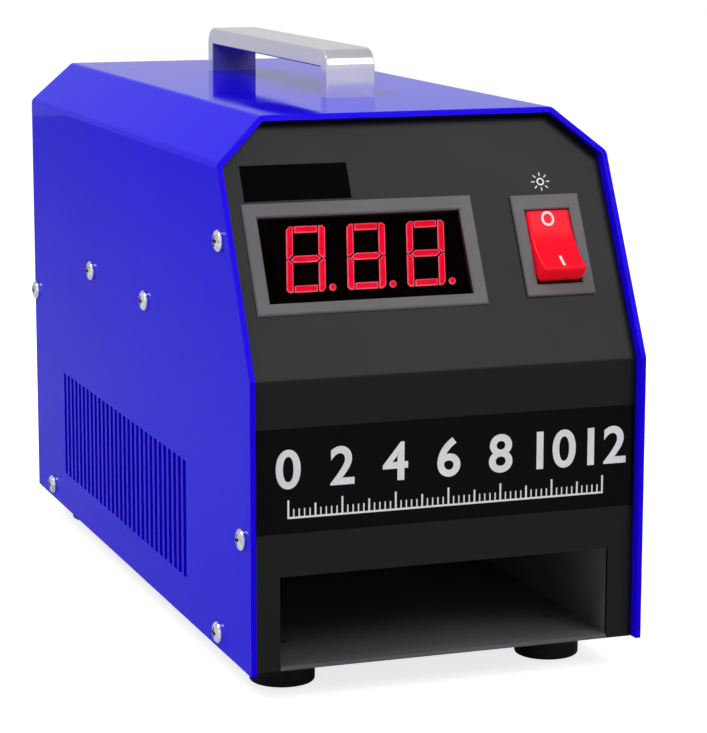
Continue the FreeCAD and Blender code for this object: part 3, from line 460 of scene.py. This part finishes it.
def islands(name):
    """The separate solids of a node, each as its lowest and highest corner."""
    shape = bmesh.new()
    shape.from_mesh(nodes[name].data)
    bmesh.ops.remove_doubles(shape, verts=shape.verts, dist=1e-6)
    left = set(shape.verts)
    found = []
    while left:
        reached = [left.pop()]
        for vert in reached:
            for edge in vert.link_edges:
                other = edge.other_vert(vert)
                if other in left:
                    left.remove(other)
                    reached.append(other)
        low = Vector(min(vert.co[i] for vert in reached) for i in range(3))
        high = Vector(max(vert.co[i] for vert in reached) for i in range(3))
        found.append((low, high))
    shape.free()
    return found


HEAD_RADIUS = 4.0
HEAD_HEIGHT = 2.4
CROSS_REACH = 2.5
CROSS_WIDTH = 1.2
CROSS_DEPTH = 1.7


def apply_modifiers(piece):
    """The piece's mesh with its modifiers worked in."""
    depsgraph = bpy.context.evaluated_depsgraph_get()
    return bpy.data.meshes.new_from_object(piece.evaluated_get(depsgraph), depsgraph=depsgraph)


def lathe(profile, segments):
    """A mesh turned about z from points of radius and height, in millimetres."""
    shape = bmesh.new()
    verts = [shape.verts.new(Vector((radius, 0.0, height)) * MM) for radius, height in profile]
    edges = [shape.edges.new(pair) for pair in zip(verts, verts[1:])]
    bmesh.ops.spin(shape, geom=verts + edges, cent=(0, 0, 0), axis=(0, 0, 1),
                   angle=math.tau, steps=segments, use_merge=True)
    bmesh.ops.remove_doubles(shape, verts=shape.verts, dist=1e-7)
    bmesh.ops.recalc_face_normals(shape, faces=shape.faces)
    mesh = bpy.data.meshes.new("lathe")
    shape.to_mesh(mesh)
    shape.free()
    return mesh


def screw_head_mesh():
    """A domed head with a cross recess and a short shank, its seat at z = 0."""
    steps = 9
    profile = [(0.0, -0.6), (1.9, -0.6), (1.9, 0.0), (HEAD_RADIUS - 0.15, 0.0),
               (HEAD_RADIUS, 0.15), (HEAD_RADIUS, 0.75)]
    rim = HEAD_HEIGHT - 0.75
    for i in range(1, steps + 1):
        angle = math.radians(90) * i / steps
        profile.append((HEAD_RADIUS * math.cos(angle) ** 0.8, 0.75 + rim * math.sin(angle)))
    profile[-1] = (0.0, HEAD_HEIGHT)
    head = bpy.data.objects.new("screw_head", lathe(profile, 40))
    bpy.context.scene.collection.objects.link(head)
    cross = bmesh.new()
    floor = HEAD_HEIGHT - CROSS_DEPTH
    for turn in (0, 90):
        bar = bmesh.ops.create_cube(cross, size=1.0)["verts"]
        for vert in bar:
            high = vert.co.z > 0
            reach = CROSS_REACH if high else CROSS_REACH * 0.35
            half = CROSS_WIDTH / 2 if high else CROSS_WIDTH * 0.3
            level = HEAD_HEIGHT + 0.3 if high else floor
            vert.co = Vector((math.copysign(reach, vert.co.x), math.copysign(half, vert.co.y), level)) * MM
        bmesh.ops.rotate(cross, verts=bar, cent=(0, 0, 0), matrix=Matrix.Rotation(math.radians(turn), 3, "Z"))
    tool_mesh = bpy.data.meshes.new("cross")
    cross.to_mesh(tool_mesh)
    cross.free()
    tool = bpy.data.objects.new("cross_tool", tool_mesh)
    bpy.context.scene.collection.objects.link(tool)
    cutter = head.modifiers.new("recess", "BOOLEAN")
    cutter.object = tool
    cutter.operation = "DIFFERENCE"
    cutter.solver = "EXACT"
    cutter.use_self = True
    mesh = apply_modifiers(head)
    for spare in (head, tool):
        bpy.data.objects.remove(spare)
    for polygon in mesh.polygons:
        polygon.use_smooth = True
        # Faces inside the cross take the painted shade of the recess
        away = Vector(polygon.center.xy).length
        polygon.material_index = int(away < CROSS_REACH * MM and polygon.normal.z < 0.85)
    mesh.set_sharp_from_angle(angle=math.radians(32))
    return mesh


def put_screws(name, axis, node_names):
    """Detailed heads in place of a node's plain screws; axis is the way that the heads face."""
    pattern = screw_head_mesh()
    joined = bmesh.new()
    facing = Vector(axis)
    turn = facing.to_track_quat("Z", "Y").to_matrix().to_4x4()
    number = 0
    for node_name in node_names:
        for low, high in islands(node_name):
            centre = (low + high) / 2
            along = [i for i in range(3) if facing[i]][0]
            outer = high[along] if facing[along] > 0 else low[along]
            seat = centre.copy()
            seat[along] = outer - facing[along] * HEAD_HEIGHT * MM
            spin = Matrix.Rotation(math.radians(8 * (number % 3) - 8), 4, "Z")
            number += 1
            copy = pattern.copy()
            copy.transform(Matrix.Translation(seat) @ turn @ spin)
            joined.from_mesh(copy)
            bpy.data.meshes.remove(copy)
    mesh = bpy.data.meshes.new(name)
    joined.to_mesh(mesh)
    joined.free()
    mesh.set_sharp_from_angle(angle=math.radians(32))
    piece = add_object(name, mesh, ("screw_chrome", "screw_recess_shade"), "machine")
    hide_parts(*node_names)


def text_mesh(name, body, size, depth):
    """Letters or numerals as a thin mesh, centred on the origin, in millimetres."""
    curve = bpy.data.curves.new(name, "FONT")
    curve.body = body
    curve.size = size * MM
    curve.align_x = "CENTER"
    curve.align_y = "CENTER"
    curve.extrude = depth * MM / 2
    curve.offset = 0.02 * size * MM
    holder = bpy.data.objects.new(name, curve)
    bpy.context.scene.collection.objects.link(holder)
    bpy.context.view_layer.update()
    mesh = apply_modifiers(holder)
    bpy.data.objects.remove(holder)
    return mesh


def slab(shape, x0, x1, y0, y1, z0, z1):
    """Adds a block between two corners, in millimetres, to a mesh being made."""
    block = bmesh.ops.create_cube(shape, size=1.0)["verts"]
    for vert in block:
        vert.co = Vector((x1 if vert.co.x > 0 else x0, y1 if vert.co.y > 0 else y0,
                          z1 if vert.co.z > 0 else z0)) * MM


STRIP_SCALE_END = 60
NUMERAL_SIZE = 19.0
PRINT_DEPTH = 0.06


def label_scale():
    """A plain centimetre scale printed across the strip."""
    low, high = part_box("label_strip")
    shape = bmesh.new()
    bottom = low.z / MM + 6.0
    for tick in range(-STRIP_SCALE_END, STRIP_SCALE_END + 1, 2):
        height = 6.0 if tick % 20 == 0 else 4.4 if tick % 10 == 0 else 2.8
        half = 0.34 if tick % 10 == 0 else 0.24
        slab(shape, tick - half, tick + half, bottom, bottom + height, 0, PRINT_DEPTH)
    slab(shape, -STRIP_SCALE_END - 0.34, STRIP_SCALE_END + 0.34, bottom - 0.7, bottom, 0, PRINT_DEPTH)
    for step in range(7):
        numeral = text_mesh("numeral", str(2 * step), NUMERAL_SIZE, PRINT_DEPTH)
        x = -STRIP_SCALE_END + 20 * step
        numeral.transform(Matrix.Translation(Vector((x, bottom + 16.2, PRINT_DEPTH / 2)) * MM))
        shape.from_mesh(numeral)
        bpy.data.meshes.remove(numeral)
    face = Matrix.Translation((0, low.y, 0)) @ Matrix.Rotation(math.radians(90), 4, "X")
    shape.transform(face)
    mesh = bpy.data.meshes.new("strip_scale")
    shape.to_mesh(mesh)
    shape.free()
    add_object("strip_scale", mesh, ("white_print",), "machine")


def sun_mark():
    """A small sun above the rocker, for light."""
    shape = bmesh.new()
    rays, inner, start, end = 8, 1.5, 2.3, 3.6
    for radius0, radius1 in ((0.9, inner),):
        ring(shape, radius0, radius1, PRINT_DEPTH)
    for k in range(rays):
        before = set(shape.verts)
        slab(shape, start, end, -0.22, 0.22, 0, PRINT_DEPTH)
        new = [vert for vert in shape.verts if vert not in before]
        bmesh.ops.rotate(shape, verts=new, cent=(0, 0, 0), matrix=Matrix.Rotation(math.tau * k / rays, 3, "Z"))
    shape.transform(slope_matrix(48.2, 69.6, 0.0))
    mesh = bpy.data.meshes.new("sun_mark")
    shape.to_mesh(mesh)
    shape.free()
    add_object("sun_mark", mesh, ("white_print",), "machine")


def ring(shape, inner, outer, depth, squeeze=1.0, segments=40):
    """Adds a flat ring to a mesh being made, from z = 0 up, in millimetres."""
    loops = []
    for radius, level in ((inner, 0), (inner, depth), (outer, depth), (outer, 0)):
        loops.append([shape.verts.new(Vector((radius * squeeze * math.cos(math.tau * k / segments),
                                              radius * math.sin(math.tau * k / segments), level)) * MM)
                      for k in range(segments)])
    for first, second in zip(loops, loops[1:] + loops[:1]):
        for k in range(segments):
            after = (k + 1) % segments
            shape.faces.new((first[k], first[after], second[after], second[k]))
    bmesh.ops.recalc_face_normals(shape, faces=shape.faces)


PLATE_LEFT, PLATE_RIGHT = -65.6, -25.6
PLATE_FOOT, PLATE_TOP = 66.4, 79.9
PLATE_THICKNESS = 0.35
PLATE_CORNER = 0.4


def blank_plate():
    """A bare gloss black plate above the display."""
    shape = bmesh.new()
    slab(shape, PLATE_LEFT, PLATE_RIGHT, PLATE_FOOT, PLATE_TOP, 0, PLATE_THICKNESS)
    bmesh.ops.bevel(shape, geom=shape.edges, offset=PLATE_CORNER * MM / 3, segments=2,
                    profile=0.5, affect="EDGES")
    shape.transform(slope_matrix())
    mesh = bpy.data.meshes.new("blank_plate")
    shape.to_mesh(mesh)
    shape.free()
    add_object("blank_plate", mesh, ("plate_black",), "machine")


def box_on_slope(name):
    """A node's lowest and highest corners in the frame of the sloping panel, in millimetres."""
    back = slope_matrix().inverted()
    places = [back @ vert.co / MM for vert in nodes[name].data.vertices]
    return [Vector(pick(place[i] for place in places) for i in range(3)) for pick in (min, max)]


SEGMENT_RIM = 0.32
MASK_THICKNESS = 0.3


def lit_digits():
    """The segments, each with a paler rim round its face: a painted highlight."""
    shape = bmesh.new()
    shape.from_mesh(nodes["digit_segments"].data)
    bmesh.ops.remove_doubles(shape, verts=shape.verts, dist=1e-6)
    bmesh.ops.dissolve_limit(shape, angle_limit=math.radians(1), verts=shape.verts, edges=shape.edges)
    outward = slope_matrix().to_3x3() @ Vector((0.0, 0.0, 1.0))
    faces = [face for face in shape.faces if face.normal.dot(outward) > 0.99]
    for face in shape.faces:
        face.material_index = 1
    rims = bmesh.ops.inset_individual(shape, faces=faces, thickness=SEGMENT_RIM * MM, use_even_offset=True)
    for face in faces:
        face.material_index = 0
    # The rims take the painted highlight
    for face in rims["faces"]:
        face.material_index = 1
    mesh = bpy.data.meshes.new("lit_digits")
    shape.to_mesh(mesh)
    shape.free()
    piece = add_object("lit_digits", mesh, ("digit_light", "digit_rim_highlight"), "machine")
    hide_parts("digit_segments")


def display_mask():
    """The black mask behind the window, round the digits."""
    low, high = box_on_slope("display_window")
    inner, outer = box_on_slope("digit_blocks")
    top = outer.z
    shape = bmesh.new()
    slab(shape, low.x, inner.x, low.y, high.y, top - MASK_THICKNESS, top)
    slab(shape, outer.x, high.x, low.y, high.y, top - MASK_THICKNESS, top)
    slab(shape, inner.x, outer.x, low.y, inner.y, top - MASK_THICKNESS, top)
    slab(shape, inner.x, outer.x, outer.y, high.y, top - MASK_THICKNESS, top)
    bmesh.ops.remove_doubles(shape, verts=shape.verts, dist=1e-6)
    shape.transform(slope_matrix())
    mesh = bpy.data.meshes.new("display_mask")
    shape.to_mesh(mesh)
    shape.free()
    add_object("display_mask", mesh, ("digit_face",), "machine")


ROCKER_VOXEL = 0.28


def rounded_rocker(name, node, body):
    """A rocker with the softly rounded edges of a moulding."""
    mesh = nodes[node].data.copy()
    piece = add_object(name, mesh, ("red_plastic",), body)
    remesh = piece.modifiers.new("remesh", "REMESH")
    remesh.mode = "VOXEL"
    remesh.voxel_size = ROCKER_VOXEL * MM
    smooth = piece.modifiers.new("smooth", "SMOOTH")
    smooth.factor = 0.5
    smooth.iterations = 40
    bpy.context.view_layer.update()
    piece.data = apply_modifiers(piece)
    piece.modifiers.clear()
    for polygon in piece.data.polygons:
        polygon.use_smooth = True
    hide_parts(node)
    return piece


def surface_of(mesh):
    """A surface, for finding where a line meets it."""
    return BVHTree.FromPolygons([vert.co for vert in mesh.vertices],
                                [tuple(face.vertices) for face in mesh.polygons])


def height_on(surface, place, x, y):
    """How high a surface stands at x, y of a frame, all in millimetres."""
    above = place @ (Vector((x, y, 30.0)) * MM)
    down = place.to_3x3() @ Vector((0.0, 0.0, -1.0))
    return 30.0 - surface.ray_cast(above, down)[3] / MM


def lay_on(shape, surface, place):
    """Drops a flat mark, made in a frame, onto a curved surface and into its place."""
    for vert in shape.verts:
        x, y, z = vert.co / MM
        vert.co = Vector((x, y, height_on(surface, place, x, y) + (z if z > 0 else -0.05))) * MM
    shape.transform(place)


MARK_STROKE = 1.0
MARK_RADIUS = 2.9
MARK_SQUEEZE = 0.87
MARK_LENGTH = 4.6


def rocker_marks(name, surface, body, place, off, on, lengthwise):
    """O and I on the face of a rocker; off and on are their middles in the frame."""
    shape = bmesh.new()
    ring(shape, MARK_RADIUS - MARK_STROKE, MARK_RADIUS, PRINT_DEPTH, MARK_SQUEEZE)
    for vert in shape.verts:
        if lengthwise == "x":
            vert.co.x, vert.co.y = vert.co.y, -vert.co.x
        vert.co += Vector((off[0], off[1], 0)) * MM
    steps = 8
    for k in range(steps):
        near = MARK_LENGTH * (k / steps - 0.5)
        far = near + MARK_LENGTH / steps
        sides = (-MARK_STROKE / 2, MARK_STROKE / 2)
        if lengthwise == "x":
            slab(shape, on[0] + near, on[0] + far, on[1] + sides[0], on[1] + sides[1], 0, PRINT_DEPTH)
        else:
            slab(shape, on[0] + sides[0], on[0] + sides[1], on[1] + near, on[1] + far, 0, PRINT_DEPTH)
    lay_on(shape, surface, place)
    bmesh.ops.remove_doubles(shape, verts=shape.verts, dist=1e-7)
    mesh = bpy.data.meshes.new(name)
    shape.to_mesh(mesh)
    shape.free()
    add_object(name, mesh, ("white_print",), body)


def make_rockers():
    exposure = rounded_rocker("exposure_rocker_moulded", "exposure_rocker", "exposure_key")
    rocker_marks("exposure_marks", surface_of(exposure.data), "exposure_key", slope_matrix(),
                 (47.6, 54.5), (48.1, 36.6), "y")
    power = rounded_rocker("power_rocker_moulded", "power_rocker", "power_key")
    surface = surface_of(power.data)
    low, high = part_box("power_rocker")
    middle = (low + high) / 2
    rear = Matrix(((-1, 0, 0, 0), (0, 0, 1, middle.y), (0, 1, 0, middle.z), (0, 0, 0, 1)))
    reach = (high.x - low.x) / MM / 2 - 5.0
    lower = min((-reach, reach), key=lambda x: height_on(surface, rear, x, 0.0))
    rocker_marks("power_marks", surface, "power_key", rear, (lower, 0.0), (-lower, 0.0), "x")


def wire(shape, points, thickness, closed=False, sides=10):
    """Adds a round wire along points, in millimetres, that lie in a plane facing y."""
    loops = []
    count = len(points)
    for k in range(count):
        before = points[(k - 1) % count] if closed or k else points[k]
        after = points[(k + 1) % count] if closed or k < count - 1 else points[k]
        ahead = (after - before).normalized()
        across = ahead.cross(Vector((0, 1, 0)))
        loops.append([])
        for side in range(sides):
            angle = math.tau * side / sides
            edge = across * math.cos(angle) + Vector((0, 1, 0)) * math.sin(angle)
            loops[-1].append(shape.verts.new((points[k] + edge * thickness / 2) * MM))
    for first, second in zip(loops, loops[1:] + (loops[:1] if closed else [])):
        for side in range(sides):
            after = (side + 1) % sides
            shape.faces.new((first[side], first[after], second[after], second[side]))
    if not closed:
        shape.faces.new(loops[0])
        shape.faces.new(loops[-1])


GUARD_WIRE = 1.6
GUARD_RINGS = 5
FAN_BORE = 76.0
GUARD_EYE = 9.0


def fan_guard_wires():
    """The finger guard: round wire rings welded on two crossed arms that end in eyes."""
    low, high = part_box("fan_guard")
    middle = (low + high) / 2 / MM
    reach = (high.x - low.x) / MM / 2 - GUARD_EYE / 2
    inner, outer = low.y / MM + GUARD_WIRE / 2, high.y / MM - GUARD_WIRE / 2
    shape = bmesh.new()

    def circle(x, y, z, radius, count):
        turns = [math.tau * k / count for k in range(count)]
        return [Vector((x + radius * math.cos(turn), y, z + radius * math.sin(turn))) for turn in turns]

    for k in range(GUARD_RINGS):
        radius = (k + 0.5) * FAN_BORE / 2 / GUARD_RINGS + GUARD_WIRE
        wire(shape, circle(middle.x, outer, middle.z, radius, 24 + 12 * k), GUARD_WIRE, closed=True)
    loop = (GUARD_EYE - GUARD_WIRE) / 2
    for turn in range(4):
        angle = math.radians(45 + 90 * turn)
        ray = Vector((math.cos(angle), 0, math.sin(angle)))
        hub = Vector((middle.x, inner, middle.z))
        eye = hub + ray * reach * math.sqrt(2)
        wire(shape, [hub, eye - ray * (loop - GUARD_WIRE / 4)], GUARD_WIRE)
        wire(shape, circle(eye.x, inner, eye.z, loop, 28), GUARD_WIRE, closed=True)
    bmesh.ops.recalc_face_normals(shape, faces=shape.faces)
    mesh = bpy.data.meshes.new("fan_guard_wires")
    shape.to_mesh(mesh)
    shape.free()
    for polygon in mesh.polygons:
        polygon.use_smooth = len(polygon.vertices) == 4
    piece = add_object("fan_guard_wires", mesh, ("screw_chrome",), "machine")
    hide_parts("fan_guard")


FLOOR_GLOW = 0.78
FLOOR_GLOW_IN_GLOSS = 0.01


def make_stage():
    """A pale floor that looks white and keeps the shadow, under a white surrounding."""
    mesh = bpy.data.meshes.new("floor")
    shape = bmesh.new()
    bmesh.ops.create_circle(shape, cap_ends=True, segments=96, radius=2.2)
    shape.to_mesh(mesh)
    shape.free()
    floor = bpy.data.objects.new("floor", mesh)
    bpy.context.scene.collection.objects.link(floor)
    material = bpy.data.materials.new("floor")
    material.use_nodes = True
    tree = material.node_tree
    tree.nodes.clear()
    output = tree.nodes.new("ShaderNodeOutputMaterial")
    matt = tree.nodes.new("ShaderNodeBsdfDiffuse")
    matt.inputs["Color"].default_value = (0.8, 0.8, 0.8, 1.0)
    glow = tree.nodes.new("ShaderNodeEmission")
    path = tree.nodes.new("ShaderNodeLightPath")
    level = spread(tree, path.outputs["Is Camera Ray"], 0.0, 1.0, FLOOR_GLOW_IN_GLOSS, FLOOR_GLOW)
    tree.links.new(level, glow.inputs["Strength"])
    both = tree.nodes.new("ShaderNodeAddShader")
    tree.links.new(matt.outputs[0], both.inputs[0])
    tree.links.new(glow.outputs[0], both.inputs[1])
    pick = tree.nodes.new("ShaderNodeMixShader")
    tree.links.new(seen_directly(tree), pick.inputs[0])
    tree.links.new(matt.outputs[0], pick.inputs[1])
    tree.links.new(both.outputs[0], pick.inputs[2])
    tree.links.new(pick.outputs[0], output.inputs["Surface"])
    mesh.materials.append(material)


def combine(tree, operation, first, second):
    """The result of a Math node on two values, each a number or an output."""
    sum_node = tree.nodes.new("ShaderNodeMath")
    sum_node.operation = operation
    for socket, value in zip(sum_node.inputs, (first, second)):
        if isinstance(value, float):
            socket.default_value = value
        else:
            tree.links.new(value, socket)
    return sum_node.outputs[0]


def spread(tree, value, start, end, low, high):
    """Maps a value that goes from start to end smoothly onto low to high."""
    span = tree.nodes.new("ShaderNodeMapRange")
    span.interpolation_type = "SMOOTHSTEP"
    span.inputs["From Min"].default_value = start
    span.inputs["From Max"].default_value = end
    span.inputs["To Min"].default_value = low
    span.inputs["To Max"].default_value = high
    tree.links.new(value, span.inputs["Value"])
    return span.outputs["Result"]


def seen_directly(tree):
    """1 for camera, glossy and transmission rays, and 0 for the rest."""
    path = tree.nodes.new("ShaderNodeLightPath")
    total = path.outputs["Is Camera Ray"]
    for name in ("Is Glossy Ray", "Is Transmission Ray"):
        total = combine(tree, "MAXIMUM", total, path.outputs[name])
    return total


SOFT_LIGHT = 0.3
ZENITH_LEVEL = 0.45
FRONT_LEVEL = 0.95
REAR_LEVEL = 0.63


def make_world():
    """An even soft light. The camera sees white, and so does gloss towards the front, while the
    backdrop and the ceiling are dimmer in it."""
    world = bpy.data.worlds.new("studio")
    bpy.context.scene.world = world
    world.use_nodes = True
    tree = world.node_tree
    tree.nodes.clear()
    output = tree.nodes.new("ShaderNodeOutputWorld")
    soft = tree.nodes.new("ShaderNodeBackground")
    soft.inputs["Color"].default_value = (1.0, 1.0, 1.0, 1.0)
    soft.inputs["Strength"].default_value = SOFT_LIGHT
    white = tree.nodes.new("ShaderNodeBackground")
    white.inputs["Strength"].default_value = 1.0
    split = tree.nodes.new("ShaderNodeSeparateXYZ")
    tree.links.new(tree.nodes.new("ShaderNodeTexCoord").outputs["Generated"], split.inputs[0])
    rear = spread(tree, split.outputs["Y"], -0.5, 0.5, FRONT_LEVEL, REAR_LEVEL)
    overhead = spread(tree, split.outputs["Z"], 0.45, 0.95, 1.0, ZENITH_LEVEL)
    studio = combine(tree, "MULTIPLY", rear, overhead)
    path = tree.nodes.new("ShaderNodeLightPath")
    level = combine(tree, "MAXIMUM", path.outputs["Is Camera Ray"], studio)
    tree.links.new(level, white.inputs["Color"])
    pick = tree.nodes.new("ShaderNodeMixShader")
    tree.links.new(seen_directly(tree), pick.inputs[0])
    tree.links.new(soft.outputs[0], pick.inputs[1])
    tree.links.new(white.outputs[0], pick.inputs[2])
    tree.links.new(pick.outputs[0], output.inputs["Surface"])


def softbox(name, direction, distance, size, power, target=(0.0, -0.05, 0.12)):
    """A square area light that looks at the machine from a direction."""
    data = bpy.data.lights.new(name, "AREA")
    data.shape = "SQUARE"
    data.size = size
    data.energy = power
    light = bpy.data.objects.new(name, data)
    bpy.context.scene.collection.objects.link(light)
    away = Vector(direction).normalized()
    light.location = Vector(target) + away * distance
    light.rotation_euler = away.to_track_quat("Z", "Y").to_euler()


def make_lights():
    softbox("key", (0.332, -0.676, 0.657), 1.4, 0.75, 6.0)
    softbox("upper_left", (-0.5, -0.1, 0.86), 1.4, 0.8, 12.0)


def make_camera():
    data = bpy.data.cameras.new("camera")
    data.sensor_width = SENSOR
    data.lens = FOCAL
    data.clip_end = 50.0
    camera = bpy.data.objects.new("camera", data)
    bpy.context.scene.collection.objects.link(camera)
    ahead = Vector((math.sin(YAW) * math.cos(PITCH), math.cos(YAW) * math.cos(PITCH), -math.sin(PITCH)))
    camera.location = EYE
    aim = ahead.to_track_quat("-Z", "Y").to_matrix() @ Matrix.Rotation(ROLL, 3, "Z")
    camera.rotation_euler = aim.to_euler()
    bpy.context.scene.camera = camera


materials = make_materials()
materials["white_print"] = white_print()
materials["chamber_paint"] = chamber_paint()
materials["digit_face"] = digit_face()
materials["screw_recess_shade"] = screw_recess_shade()
# The paler rim of the segments is a painted highlight
materials["digit_rim_highlight"] = lit_segment("digit_rim_highlight", srgb(236, 96, 120), srgb(250, 130, 150), 1.6)
materials["plate_black"] = plate_black()
dress_nodes()
put_screws("side_screw_heads_left", (-1, 0, 0), ["side_screws_left"])
put_screws("side_screw_heads_right", (1, 0, 0), ["side_screws_right"])
put_screws("fan_screw_heads", (0, 1, 0), ["fan_screws"])
put_screws("inlet_screw_heads", (0, 1, 0), ["inlet_screws"])
label_scale()
sun_mark()
blank_plate()
lit_digits()
display_mask()
make_rockers()
fan_guard_wires()
make_stage()
make_world()
make_lights()
make_camera()
bpy.context.scene.view_settings.view_transform = "Standard"
